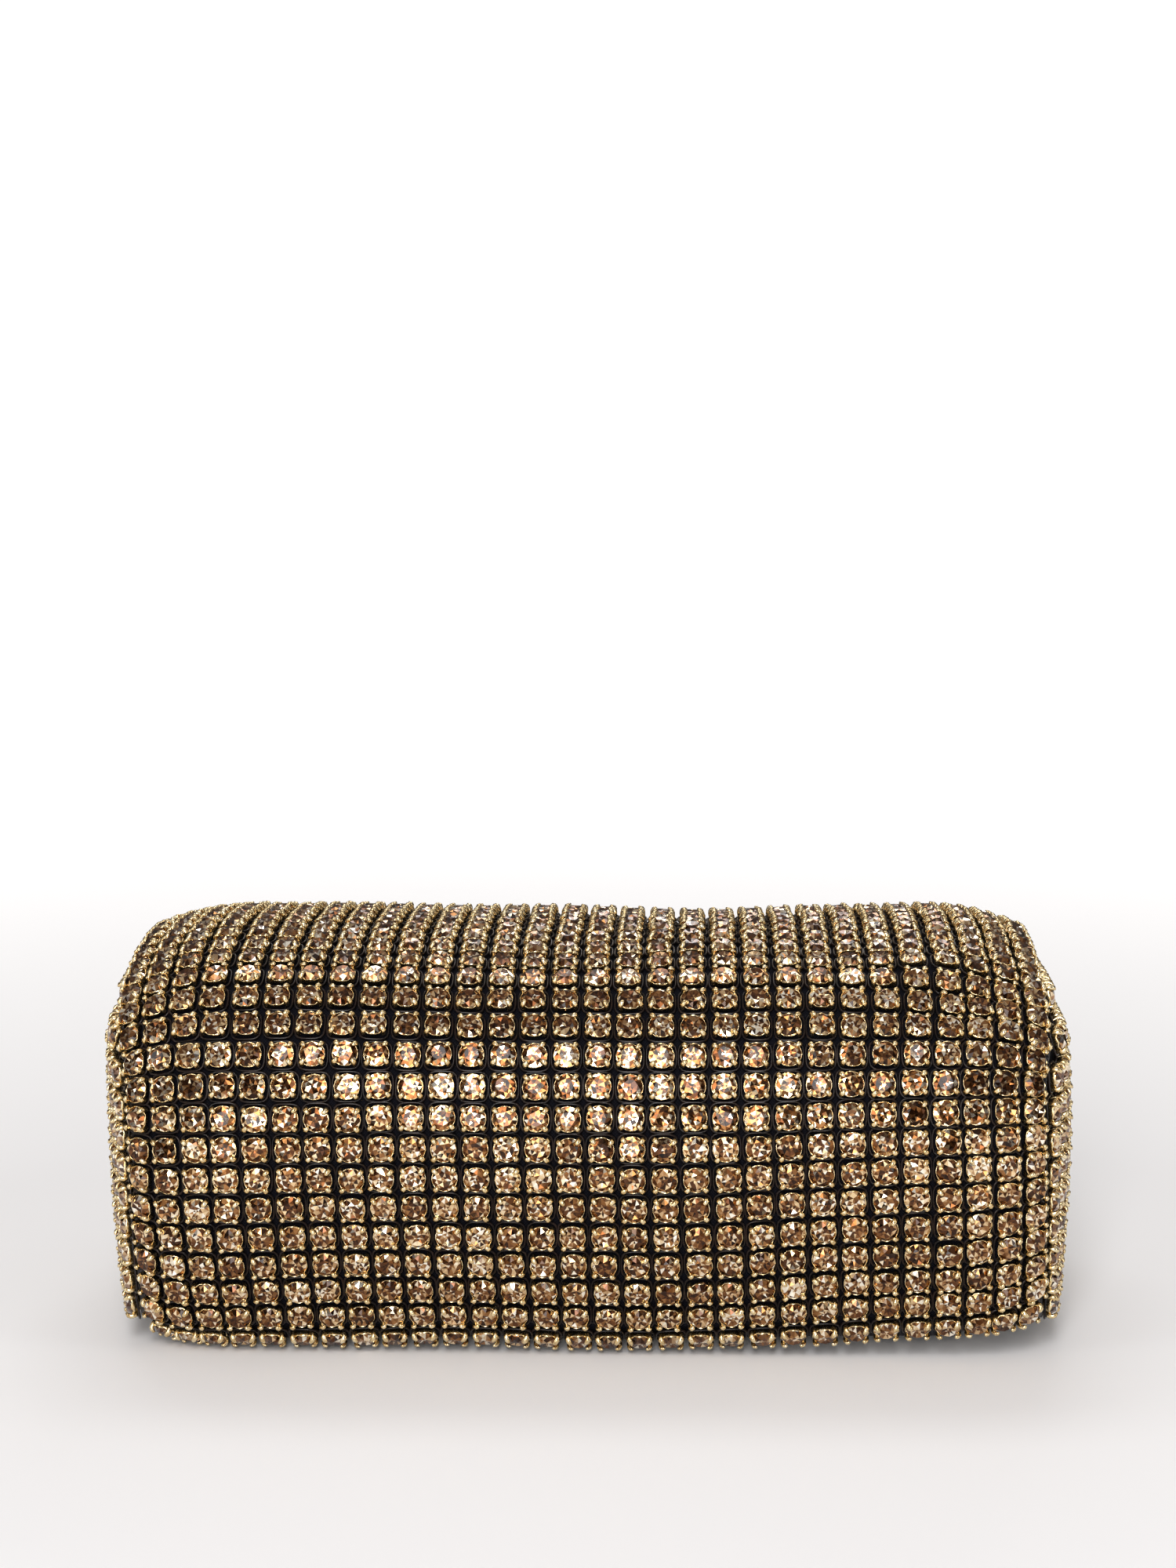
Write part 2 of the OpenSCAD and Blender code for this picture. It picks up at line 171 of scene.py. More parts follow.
def tucked_u(s, u):
    """u of a stone: the ends of a row that is cut by the corners move in a little."""
    start = EDGE_HALF - (CORNER_COLUMNS + 0.5) * EDGE_PITCH
    share = max(0.0, (abs(u) - start) / (CORNER_COLUMNS * EDGE_PITCH))
    return u - math.copysign(CORNER_PULL * share * float(EDGE_HALF - half_at(s)), u)


FLAP_LOW_S = row_s(0.57)
CREASE_S = row_s(FRONT_ROWS + 0.5)
CREASE_REACH = 2.6
FLAP_END_S = row_s(FRONT_ROWS + TOP_ROWS) + 2.7
BACK_END_S = FLAP_END_S + 4.2
BACK_ROW_S = BACK_END_S + 2.7
BACK_LOW_S = START_S[6] + 8.6
WALL_TOP_S = START_S[2] + 14
WALL_LOW_S = 5.2


# ---------------------------------------- soft irregularity of the hand-made bag
LEAN = 0.024
LEAN_Z = 48.0  # the height that stays in place


def smooth(t):
    t = np.clip(t, 0, 1)
    return t * t * (3 - 2 * t)


def settle(p):
    """The bag leans a little to its right as it goes down, and its right front foot stands off the floor."""
    q = p.copy()
    q[..., 0] += LEAN * (LEAN_Z - p[..., 2])
    # what hangs below the front's low edge is pressed up by the floor
    q[..., 2] += 0.42 * np.maximum(3 - p[..., 2], 0) * smooth((-29 - p[..., 1]) / 5)
    q[..., 2] += (1.5 * smooth((p[..., 0] - 8) / 85) * (1 - smooth((p[..., 2] - 2) / 34))
                  * smooth((12 - p[..., 1]) / 40))
    return q


def warp(s, u):
    """Where the net really lies: its s and u, and how far it stands out."""
    # low down, rows lift to the right and drop to the left; they crowd a little up to the crease
    low = 1 - smooth((s - 30) / 55)
    shift_s = low * (2.9 * smooth((u - 8) / 78) - 0.8 * smooth((-u - 20) / 66))
    shift_s -= 0.9 * low * smooth((-u - 72) / 14)
    shift_s += 0.75 * np.cos(np.pi * np.clip((s - 20) / 55, 0, 1)) * (1 - smooth((s - 85) / 25))
    # columns lean to the right on their way down, and fan out over the shoulders
    shift_u = 0.014 * (50 - np.minimum(s, 100)) * (1 - smooth((s - 80) / 40))
    fan = 0.034 * smooth((s - 56) / 22) * (1 - smooth((s - 150) / 40))
    # ripples, a pinch and a swell on the right shoulder, and the top's sag between the gussets
    ripple = 0.35 * np.sin(u / 15.5 + 0.6 + s / 60) * np.sin(s / 19.0 + 0.4)
    ripple += 0.22 * np.sin(u / 7.3 + 1.9) * np.sin(s / 11.0 + 2.0)
    pinch = -1.3 * np.exp(-((u - 74) / 9) ** 2 - ((s - 78) / 7) ** 2)
    swell = 0.9 * np.exp(-((u - 66) / 8) ** 2 - ((s - 88) / 6) ** 2)
    sag = -2.0 * smooth((s - 88) / 42) * (1 - smooth((s - 168) / 34)) * (1 - (u / 92) ** 2)
    return s + shift_s, u * (1 + fan) + shift_u, ripple + pinch + swell + sag


def across(s, u, h):
    """x and the inward sink at u, h outward: flat, then a wide roll, tighter down the front's edges."""
    a = np.abs(u)
    edge_r = EDGE_R + (SIDE_R - EDGE_R) * smooth((s - 60) / 30)
    wide = np.clip(a - FLAT_HALF, 0, EDGE_ROLL_U - FLAT_HALF) / SIDE_R
    turn = wide + np.maximum(a - EDGE_ROLL_U, 0) / edge_r
    x = np.minimum(a, FLAT_HALF) + SIDE_R * np.sin(wide) + edge_r * (np.sin(turn) - np.sin(wide))
    sink = SIDE_R * (1 - np.cos(wide)) + edge_r * (np.cos(wide) - np.cos(turn))
    return np.sign(u) * (x + h * np.sin(turn)), sink + h * (1 - np.cos(turn))


def surface(s, u, h, straight=False):
    """Points of a panel as the bag sits. A straight one runs on down where the front rolls under."""
    s, u, h = np.broadcast_arrays(np.asarray(s, float), np.asarray(u, float), np.asarray(h, float))
    s1, u1, ripple = warp(s, u)
    q = np.maximum(s1, START_S[1]) if straight else s1
    y, z, f = profile(q)
    g = profile(np.maximum(s1, START_S[1]))[2]
    past = s1 - q
    h = h + ripple
    x, sink = across(s1, u1, h)
    y = y + past * np.sin(f) - h * np.cos(f) + sink * np.cos(g)
    z = z + past * np.cos(f) + h * np.sin(f) - sink * np.sin(g)
    return settle(np.stack([x, y, z], -1))


def unit(v):
    return v / np.linalg.norm(v, axis=-1, keepdims=True)


def angles(count):
    """Even steps round a circle."""
    return np.arange(count) * 2 * math.pi / count


def way_along(points):
    """The way along a line to each of its points."""
    return np.concatenate([[0], np.cumsum(np.linalg.norm(np.diff(points, axis=0), axis=1))])


def frames_of(point, a, b, step=0.05):
    """Places and local axes (across, along, outward) of the surface point(a, b)."""
    ta = point(a + step, b) - point(a - step, b)
    tb = point(a, b + step) - point(a, b - step)
    n = unit(np.cross(ta, tb))
    ex = unit(ta)
    return point(a, b), np.stack([ex, np.cross(n, ex), n], 1)


# ---------------------------------------- materials
def new_material(name):
    m = bpy.data.materials.new(name)
    m.use_nodes = True
    return m, m.node_tree, m.node_tree.nodes["Principled BSDF"]


def node(tree, kind, **values):
    n = tree.nodes.new(kind)
    for key, value in values.items():
        setattr(n, key, value)
    return n


def set_inputs(n, **values):
    for key, value in values.items():
        n.inputs[key.replace("_", " ")].default_value = value
    return n


def ramp(tree, source, stops):
    r = node(tree, "ShaderNodeValToRGB")
    while len(r.color_ramp.elements) < len(stops):
        r.color_ramp.elements.new(0.5)
    for element, (place, colour) in zip(r.color_ramp.elements, stops):
        element.position = place
        element.color = (*colour, 1)
    tree.links.new(source, r.inputs[0])
    return r.outputs[0]


def attribute(tree, name, output="Fac"):
    return node(tree, "ShaderNodeAttribute", attribute_name=name).outputs[output]


def noise(tree, scale, detail=3.0):
    n = set_inputs(node(tree, "ShaderNodeTexNoise"), Scale=scale, Detail=detail)
    tree.links.new(node(tree, "ShaderNodeTexCoord").outputs["Object"], n.inputs["Vector"])
    return n.outputs["Fac"]


def bump(tree, bsdf, height, strength, distance):
    b = set_inputs(node(tree, "ShaderNodeBump"), Strength=strength, Distance=distance)
    tree.links.new(height, b.inputs["Height"])
    tree.links.new(b.outputs[0], bsdf.inputs["Normal"])


def math_node(tree, operation, a, b):
    m = node(tree, "ShaderNodeMath", operation=operation)
    for i, value in enumerate((a, b)):
        if isinstance(value, (int, float)):
            m.inputs[i].default_value = value
        else:
            tree.links.new(value, m.inputs[i])
    return m.outputs[0]


def wave(tree, axis, period):
    """A sine over one of the cloth's own coordinates, which are in millimetres."""
    split = node(tree, "ShaderNodeSeparateXYZ")
    tree.links.new(attribute(tree, "cloth", "Vector"), split.inputs[0])
    turned = math_node(tree, "MULTIPLY", split.outputs[axis], 2 * math.pi / period)
    return math_node(tree, "SINE", turned, 0)


def stone_material():
    """Foiled glass: the coat is the stone's polished surface, the metal below is what its foil sends back."""
    m, tree, bsdf = new_material("topaz_stone")
    # the stone's topaz colour plus painted sparkle: facets are painted from near-black painted shade to
    # near-white painted highlight
    colour = ramp(tree, attribute(tree, "tone_and_sparkle"), [
        (0.0, (0.030, 0.010, 0.003)), (0.35, (0.120, 0.040, 0.010)), (0.58, (0.34, 0.155, 0.050)),
        (0.76, (0.84, 0.62, 0.35)), (1.0, (1.0, 0.94, 0.80))])
    tree.links.new(colour, bsdf.inputs["Base Color"])
    set_inputs(bsdf, Metallic=0.93, Roughness=0.07, Coat_Weight=0.35, Coat_Roughness=0.02, Coat_IOR=1.5)
    for source, target in (("table_normal", "Coat Normal"), ("foil_normal", "Normal")):
        turn = node(tree, "ShaderNodeVectorTransform", vector_type="NORMAL", convert_from="OBJECT",
                    convert_to="WORLD")
        tree.links.new(attribute(tree, source, "Vector"), turn.inputs[0])
        tree.links.new(turn.outputs[0], bsdf.inputs[target])
    return m


def cup_material():
    m, tree, bsdf = new_material("gold_cup")
    colour = ramp(tree, noise(tree, 900), [
        (0.3, (0.60, 0.42, 0.19)), (0.55, (0.84, 0.67, 0.38)), (0.75, (0.98, 0.88, 0.64))])
    tree.links.new(colour, bsdf.inputs["Base Color"])
    rough = ramp(tree, noise(tree, 2500), [(0.3, (0.16, 0.16, 0.16)), (0.7, (0.30, 0.30, 0.30))])
    tree.links.new(rough, bsdf.inputs["Roughness"])
    set_inputs(bsdf, Metallic=1.0)
    bump(tree, bsdf, noise(tree, 1800), 0.15, 0.0001)
    return m


def cloth_material(name, dark, light, rough, period, depth, gloss=0.5, sheen=0.0, wrinkle=0.0):
    """A plain weave; period is the thread spacing and depth the relief, in millimetres."""
    m, tree, bsdf = new_material(name)
    threads = math_node(tree, "MULTIPLY", wave(tree, 0, period), wave(tree, 1, period * 1.15))
    colour = ramp(tree, threads, [(0.0, dark), (1.0, light)])
    tree.links.new(colour, bsdf.inputs["Base Color"])
    set_inputs(bsdf, Roughness=rough, Specular_IOR_Level=gloss, Sheen_Weight=sheen, Sheen_Roughness=0.35)
    height = threads
    if wrinkle:
        folds = math_node(tree, "MULTIPLY", noise(tree, 45, 4.0), wrinkle)
        height = math_node(tree, "ADD", threads, folds)
    bump(tree, bsdf, height, 0.5, depth * MM)
    return m


def trim_material():
    """Grosgrain ribbon: ribs across its length."""
    m, tree, bsdf = new_material("black_trim")
    ribs = wave(tree, 0, 0.9)
    tree.links.new(ramp(tree, ribs, [(0.0, (0.008, 0.007, 0.009)), (1.0, (0.028, 0.025, 0.030))]),
                   bsdf.inputs["Base Color"])
    set_inputs(bsdf, Roughness=0.62, Sheen_Weight=0.3, Sheen_Roughness=0.4)
    bump(tree, bsdf, ribs, 0.6, 0.00015)
    return m


def mottled_material(name, scale, detail, stops, relief=None, **inputs):
    """Colour from noise at one scale; relief is the scale, detail, strength and distance of the bumps."""
    m, tree, bsdf = new_material(name)
    tree.links.new(ramp(tree, noise(tree, scale, detail), stops), bsdf.inputs["Base Color"])
    set_inputs(bsdf, **inputs)
    if relief:
        bump(tree, bsdf, noise(tree, *relief[:2]), *relief[2:])
    return m


MATS = {
    "topaz_stone": stone_material(),
    "gold_cup": cup_material(),
    "black_mesh": mottled_material("black_ring", 500, 3.0,
                                   [(0.35, (0.005, 0.004, 0.004)), (0.7, (0.020, 0.011, 0.008))],
                                   Roughness=0.3, Coat_Weight=0.12, Coat_Roughness=0.1,
                                   Specular_IOR_Level=0.2),
    "cloth": cloth_material("net_cloth", (0.002, 0.002, 0.004), (0.008, 0.008, 0.013), rough=0.85,
                            period=0.55, depth=0.12, gloss=0.12),
    "satin_lining": cloth_material("satin_lining", (0.012, 0.010, 0.014), (0.030, 0.026, 0.034), rough=0.34,
                                   period=0.32, depth=0.05, sheen=0.25, wrinkle=5.0),
    "black_trim": trim_material(),
    "board": mottled_material("fibreboard", 700, 6.0,
                              [(0.3, (0.30, 0.28, 0.25)), (0.7, (0.52, 0.49, 0.44))],
                              relief=(1500, 5.0, 0.4, 0.0001), Roughness=0.85),
    "snap_metal": mottled_material("snap_metal", 300, 5.0,
                                   [(0.3, (0.55, 0.54, 0.52)), (0.7, (0.78, 0.77, 0.74))],
                                   relief=(4000, 2.0, 0.2, 0.00003), Metallic=1.0, Roughness=0.28),
    "thread": mottled_material("thread", 3000, 3.0,
                               [(0.3, (0.03, 0.027, 0.03)), (0.7, (0.07, 0.063, 0.07))],
                               Roughness=0.5, Sheen_Weight=0.2),
}


# ---------------------------------------- mesh building
def linked(name, data):
    """A new object in the scene."""
    obj = bpy.data.objects.new(name, data)
    bpy.context.scene.collection.objects.link(obj)
    return obj


def build(name, verts, faces, material, flat=False, cloth=None, face_data=None):
    """A mesh object from millimetre points and an array of faces of one size."""
    verts = np.asarray(verts, float).reshape(-1, 3)
    faces = np.asarray(faces, np.int64)
    mesh = bpy.data.meshes.new(name)
    mesh.vertices.add(len(verts))
    mesh.vertices.foreach_set("co", (verts * MM).astype(np.float32).ravel())
    mesh.loops.add(faces.size)
    mesh.loops.foreach_set("vertex_index", faces.astype(np.int32).ravel())
    mesh.polygons.add(len(faces))
    mesh.polygons.foreach_set("loop_start", np.arange(0, faces.size, faces.shape[1], dtype=np.int32))
    mesh.polygons.foreach_set("use_smooth", np.full(len(faces), not flat))
    if cloth is not None:
        data = mesh.attributes.new("cloth", "FLOAT_VECTOR", "POINT").data
        data.foreach_set("vector", np.asarray(cloth, np.float32).ravel())
    for key, (kind, values) in (face_data or {}).items():
        data = mesh.attributes.new(key, kind, "FACE").data
        field = "vector" if kind == "FLOAT_VECTOR" else "value"
        data.foreach_set(field, np.asarray(values, np.float32).ravel())
    mesh.update(calc_edges=True)
    mesh.validate(clean_customdata=False)
    mesh.materials.append(MATS[material])
    obj = linked(name, mesh)
    return obj


def place(obj, body, *nodes):
    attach(obj, body)
    if nodes:
        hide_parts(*nodes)
    return obj


def grid_faces(rows, cols, offset=0, flip=False, closed=False):
    """Quads of a grid of points; closed joins the last column to the first."""
    j, i = np.meshgrid(np.arange(rows - 1), np.arange(cols if closed else cols - 1), indexing="ij")
    a = j * cols + i
    b = j * cols + (i + 1) % cols
    quads = np.stack([a, b, b + cols, a + cols], -1).reshape(-1, 4)
    return (quads[:, ::-1] if flip else quads) + offset


def slab(name, outer, inner, cloth, material):
    """A closed sheet between two grids of the same shape."""
    rows, cols = outer.shape[:2]
    n = rows * cols
    rim = [(0, i) for i in range(cols)] + [(j, cols - 1) for j in range(1, rows)]
    rim += [(rows - 1, i) for i in range(cols - 2, -1, -1)] + [(j, 0) for j in range(rows - 2, 0, -1)]
    rim = np.array([j * cols + i for j, i in rim])
    nxt = np.roll(rim, -1)
    side = np.stack([rim, n + rim, n + nxt, nxt], -1)
    faces = np.concatenate([grid_faces(rows, cols), grid_faces(rows, cols, n, flip=True), side])
    return build(name, np.concatenate([outer, inner]), faces, material, cloth=np.concatenate([cloth, cloth]))


PANEL_COLS = 61


def panel_grid(s_values, half):
    """s and u of a grid that fills a panel out to its rounded corners, closer together near the sides."""
    s = np.repeat(np.asarray(s_values, float)[:, None], PANEL_COLS, 1)
    t = np.linspace(-1, 1, PANEL_COLS)
    t = np.sign(t) * np.abs(t) ** 0.85
    return s, t[None, :] * half_at(s[:, :1], half)


def panel(name, s0, s1, half, h_out, h_in, material, straight=True, step=2.0, ripple=0.0):
    """A curved sheet of the bag between two heights; ripple is how much its inner face puckers."""
    s, u = panel_grid(np.linspace(s0, s1, max(3, int(abs(s1 - s0) / step) + 2)), half)
    soft = ripple * (np.sin(u / 9.0 + s / 23.0) * np.sin(s / 8.0 + 0.7) + 0.5 * np.sin(u / 4.1 - s / 6.3))
    outer = surface(s, u, h_out - np.abs(soft) * 0.3, straight)
    inner = surface(s, u, h_in + np.abs(soft), straight)
    obj = slab(name, outer, inner, np.stack([u, s, 0 * s], -1), material)
    return obj


def turned_edges(name, s0, s1, step=1.5, straight=True):
    """The net's cloth turned in over a panel's two sides, down to its lining."""
    pieces, skins = [], []
    s = np.linspace(s0, s1, int(abs(s1 - s0) / step) + 2)
    top, low, inset = -0.1, FLAP_IN + 0.1, 0.6
    for side in (-1, 1):
        rings = [surface(s, side * (half_at(s, EDGE_HALF) - inward), h, straight)
                 for inward, h in ((0, top), (0, low), (inset, low), (inset, top), (0, top))]
        verts = np.stack(rings, 0)
        start = sum(len(v) for v in pieces)
        pieces.append(verts.reshape(-1, 3))
        skins.append(grid_faces(len(rings), len(s), start, flip=side < 0))
        for column, turn in ((0, 1), (len(s) - 1, -1)):
            cap = start + np.arange(4) * len(s) + column
            skins.append(np.array([cap[::turn * side]]))
    verts = np.concatenate(pieces)
    cloth = verts[:, [1, 2, 0]]
    return build(name, verts, np.concatenate(skins), "cloth", cloth=cloth)


def tube(name, p, radius, material, sides, flatten=1.0, normals=None):
    """A round or flattened binding that follows the line of points p. sides is an even number."""
    n = len(p)
    ahead = unit(np.concatenate([[p[1] - p[0]], p[2:] - p[:-2], [p[-1] - p[-2]]]))
    side = unit(np.cross(ahead, (0.0, 0.0, 1.0) if normals is None else normals))
    up = np.cross(side, ahead)
    a = angles(sides)
    ring = side[:, None] * np.cos(a)[None, :, None] * radius
    ring = ring + up[:, None] * np.sin(a)[None, :, None] * radius * flatten
    caps = [[first, first + i, first + i + 1, first + i + 2][::-turn]
            for first, turn in ((0, 1), ((n - 1) * sides, -1)) for i in range(1, sides - 2, 2)]
    faces = np.concatenate([grid_faces(n, sides, closed=True), np.array(caps)])
    along = np.repeat(way_along(p), sides)
    cloth = np.stack([along, np.tile(a, n), 0 * along], -1)
    return build(name, p[:, None] + ring, faces, material, cloth=cloth)


def instances(name, template, faces, places, axes, material, **extra):
    """One mesh of many copies. template is (points, 3) or (copies, points, 3), in local millimetres."""
    template = np.broadcast_to(template, (len(places),) + np.shape(template)[-2:])
    world = places[:, None] + np.einsum("kni,kij->knj", template, axes)
    count = template.shape[1]
    all_faces = (faces[None] + np.arange(len(places))[:, None, None] * count).reshape(-1, faces.shape[1])
    return build(name, world, all_faces, material, **extra)


# ---------------------------------------- one stone, one cup, one net ring
STONE_R = 2.36
GIRDLE_Z = 1.95
TABLE_Z = 2.85
UNDER = 0.36  # how far the middle lies under the table's edge


def circle_points(count, radius, z, turn=0.0):
    a = angles(count) + turn
    return np.stack([radius * np.cos(a), radius * np.sin(a), np.full(count, z)], -1)


def stone_template():
    """Facets of a foiled round stone: a small flat middle, the cone seen through the table, the crown."""
    half = math.pi / 8
    rings = [
        np.array([[0.0, 0.0, TABLE_Z - UNDER]]),
        circle_points(8, 0.62, TABLE_Z - UNDER, half),
        circle_points(8, 1.42, TABLE_Z),
        circle_points(8, 1.86, TABLE_Z - UNDER, half),
        circle_points(16, STONE_R, GIRDLE_Z),
        circle_points(16, STONE_R, GIRDLE_Z - 0.45),
    ]
    starts = np.cumsum([0] + [len(r) for r in rings])
    centre, inner, table, mid, girdle, low = starts[:len(rings)]
    faces, under = [], []
    for i in range(8):
        j = (i + 1) % 8
        faces += [[centre, inner + i, inner + j]]
        faces += [[inner + i, table + i, table + j], [inner + i, table + j, inner + j]]
        under += [True] * 3
        g, gn, gm = girdle + 2 * i, girdle + 2 * i + 1, girdle + (2 * i + 2) % 16
        faces += [[table + i, mid + i, table + j]]
        faces += [[table + i, girdle + 2 * i, mid + i], [table + j, mid + i, gm]]
        faces += [[mid + i, g, gn], [mid + i, gn, gm]]
        under += [False] * 5
    for i in range(16):
        j = (i + 1) % 16
        faces += [[girdle + i, low + i, low + j], [girdle + i, low + j, girdle + j]]
        under += [False] * 2
    return np.concatenate(rings), np.array(faces), np.array(under)


def cup_template():
    """A stamped cup with a scalloped rim. Its wall is of (height, radius, share of the scallops)."""
    sides = 32
    turns = angles(sides)
    lift = 0.17 * np.cos(8 * turns)
    walls = [(0.15, 1.5, 0), (0.75, 2.15, 0), (1.3, 2.42, 0), (1.7, 2.52, 0.5), (1.9, 2.48, 1.0),
             (1.88, 2.36, 1.0), (1.5, 2.25, 0.5)]
    verts = [np.stack([r * np.cos(turns), r * np.sin(turns), z + share * lift], -1) for z, r, share in walls]
    return np.concatenate(verts), grid_faces(len(walls), sides, closed=True)


def prong_template():
    """Four prongs at a cup's corners, bent over the stone. Their path is of (radius, height, width)."""
    path = [(2.40, 0.45, 0.32), (2.72, 1.10, 0.48), (2.88, 1.75, 0.56), (2.82, 2.30, 0.58),
            (2.52, 2.76, 0.55), (2.10, 2.96, 0.42), (1.80, 2.90, 0.16)]
    sides = 6
    b = angles(sides)
    verts, faces = [], []
    for corner in range(4):
        a = math.pi / 4 + corner * math.pi / 2
        out = np.array([math.cos(a), math.sin(a), 0.0])
        across_it = np.array([-math.sin(a), math.cos(a), 0.0])
        start = corner * len(path) * sides
        for i, (r, z, w) in enumerate(path):
            before, after = path[max(i - 1, 0)], path[min(i + 1, len(path) - 1)]
            ahead = out * (after[0] - before[0]) + np.array([0, 0, after[1] - before[1]])
            normal = np.cross(across_it, unit(ahead))
            verts.append(out * r + np.array([0, 0, z]) + across_it * np.cos(b)[:, None] * w
                         + normal * np.sin(b)[:, None] * w * 0.8)
        faces.append(grid_faces(len(path), sides, offset=start, closed=True))
        tip = start + (len(path) - 1) * sides
        faces.append(np.array([[tip, tip + 1, tip + 2, tip + 3], [tip, tip + 3, tip + 4, tip + 5]]))
    return np.concatenate(verts), np.concatenate(faces)


def ring_template():
    """A glossy link of the net round a cup, square with round corners, which its neighbours touch."""
    half, thick, middle_z, sides, turns = 2.86, 0.24, 0.75, 5, 28
    a, b = angles(turns), angles(sides)
    reach = half / (np.cos(a) ** 4 + np.sin(a) ** 4) ** 0.25
    r = reach[:, None] + thick * np.cos(b)[None, :]
    verts = np.stack([r * np.cos(a)[:, None], r * np.sin(a)[:, None],
                      np.broadcast_to(middle_z + thick * np.sin(b), (turns, sides))], -1)
    j, i = np.meshgrid(np.arange(turns), np.arange(sides), indexing="ij")
    jn, inn = (j + 1) % turns, (i + 1) % sides
    faces = np.stack([j * sides + i, jn * sides + i, jn * sides + inn, j * sides + inn], -1).reshape(-1, 4)
    return verts.reshape(-1, 3), faces


STONE, STONE_FACES, STONE_UNDER = stone_template()
CUP, CUP_FACES = cup_template()
PRONGS, PRONG_FACES = prong_template()
RING, RING_FACES = ring_template()


MIDDLE_POINTS = 9  # the stone's centre and the ring round it
JITTER = 0.07  # of a stone's place and of its middle's height
CUP_TURN, STONE_TURN, RING_TURN = (1.8, 2.5), (1.6, 7.0), (1.5, 0)  # tilt and spin in degrees
TONE, STONE_TONE, FACET_SPARKLE = 0.44, 0.09, 0.31  # the mean colour, how much stones differ in colour, and the spread of painted sparkle between facets, from painted shade to painted highlight
TURNED_SHARE = 0.42  # of the facets: they turn the foil's light by MUCH of their own tilt, others by LITTLE
MUCH, LITTLE = 0.8, 0.12


def small_turn(axes, tilt_deg, spin_deg):
    """Each copy's axes, tilted and spun a little."""
    n = len(axes)
    a = rng.normal(0, math.radians(tilt_deg), (n, 2))
    spin = rng.normal(0, math.radians(spin_deg), n)
    c, s = np.cos(spin), np.sin(spin)
    ex = axes[:, 0] * c[:, None] + axes[:, 1] * s[:, None]
    nz = unit(axes[:, 2] + axes[:, 0] * a[:, :1] + axes[:, 1] * a[:, 1:])
    ey = unit(np.cross(nz, ex))
    return np.stack([np.cross(ey, nz), ey, nz], 1)


def stone_group(prefix, body, places, axes):
    """Stones, cups and net rings of one panel."""
    n = len(places)
    places = places + np.einsum("kj,kji->ki", rng.normal(0, JITTER, (n, 2)), axes[:, :2])
    # each cup sits a little askew, and its stone a little askew in it
    cups = small_turn(axes, *CUP_TURN)
    stones = small_turn(cups, *STONE_TURN)
    shapes = np.repeat(STONE[None], n, 0)
    shapes[:, :MIDDLE_POINTS, 2] += rng.normal(0, JITTER, (n, MIDDLE_POINTS))
    # each facet gets painted sparkle: a random painted highlight or painted shade over its stone's own colour
    facet = rng.normal(0, FACET_SPARKLE, (n, len(STONE_FACES)))
    tone_and_sparkle = np.clip(TONE + rng.normal(0, STONE_TONE, (n, 1)) + facet, 0, 1)
    world = np.einsum("kni,kij->knj", shapes, stones)
    a, b, c = (world[:, STONE_FACES[:, i]] for i in range(3))
    normal = unit(np.cross(b - a, c - a))
    coat = np.where(STONE_UNDER[None, :, None], stones[:, None, 2], normal)
    # light that comes back from the foil turns less than the facet it leaves by
    share = np.where(rng.random((n, len(STONE_FACES), 1)) < TURNED_SHARE, MUCH, LITTLE)
    foil = unit(stones[:, None, 2] + share * (normal - stones[:, None, 2]))
    place(instances(prefix + "_stones_cut", shapes, STONE_FACES, places, stones, "topaz_stone", flat=True,
                    face_data={"tone_and_sparkle": ("FLOAT", tone_and_sparkle), "table_normal": ("FLOAT_VECTOR", coat),
                               "foil_normal": ("FLOAT_VECTOR", foil)}),
          body, prefix + "_stones")
    place(instances(prefix + "_cups_scalloped", CUP, CUP_FACES, places, cups, "gold_cup"),
          body, prefix + "_cups")
    place(instances(prefix + "_prongs", PRONGS, PRONG_FACES, places, cups, "gold_cup"), body)
    rings = small_turn(axes, *RING_TURN)
    place(instances(prefix + "_net_rings", RING, RING_FACES, places, rings, "black_mesh"), body)


def rows_of_stones(prefix, body, s_values):
    """The stones of a panel's rows, as far out as its rounded corners leave room."""
    spots = [(s, tucked_u(s, column_u(c))) for s in s_values for c in range(COLUMNS)]
    spots = [(s, u) for s, u in spots if abs(u) < half_at(s) - CUP_R + STONE_OVERHANG]
    s, u = np.array(spots).T
    places, axes = frames_of(lambda a, b: surface(b, a, 0.0), u, s)
    stone_group(prefix, body, places, axes)


# ---------------------------------------- gussets
GUSSET_X = 92.9
GUSSET_R = 400.0
GUSSET_Y = 0.3
GUSSET_Z = 43.7
GUSSET_FRONT_INSET = 7.2
GUSSET_BACK_INSET = 6.6
GUSSET_SHEET_INSET = 0.6
GUSSET_STEP = 2.0  # between the outline's points
GUSSET_EDGE = 1.0  # from a row's end stone to the outline
GUSSET_EASED = 4
RIM_X = 84.4


def gusset_outline(inset=0.0):
    """The gusset's outline in the side plane, from the bottom front over the top to the bottom back."""
    s = np.concatenate([np.arange(START_S[1], START_S[6], GUSSET_STEP), [START_S[6]]])
    y, z, f = profile(s)
    d = np.where(s < START_S[4], GUSSET_FRONT_INSET, GUSSET_BACK_INSET) + inset
    round_it = np.stack([y + d * np.cos(f), z - d * np.sin(f)], -1)
    # the straight foot, from the back to the front
    foot_y = np.linspace(profile(START_S[7])[0] - 3 - inset, SHIFT_Y + 1 + inset, 30)
    foot_z = np.full(30, BASE_Z + 2 + inset)
    return np.concatenate([round_it, np.stack([foot_y, foot_z], -1)])


def gusset_point(side, y, z, h):
    """A point of the crowned gusset, h outward from its net; it rolls in at the front, back and top."""
    ripple = 0.3 * np.sin(y / 9.0 + side) * np.sin(z / 12.0 + 0.5)
    ripple = ripple - 3.2 * smooth((np.abs(y - GUSSET_Y) - 22) / 18) - 1.7 * smooth((z - 60) / 8)
    r = GUSSET_R + h + ripple
    x = GUSSET_X - GUSSET_R + np.sqrt(r * r - (y - GUSSET_Y) ** 2 - (z - GUSSET_Z) ** 2)
    return settle(np.stack([side * x, y + 0 * x, z + 0 * x], -1))


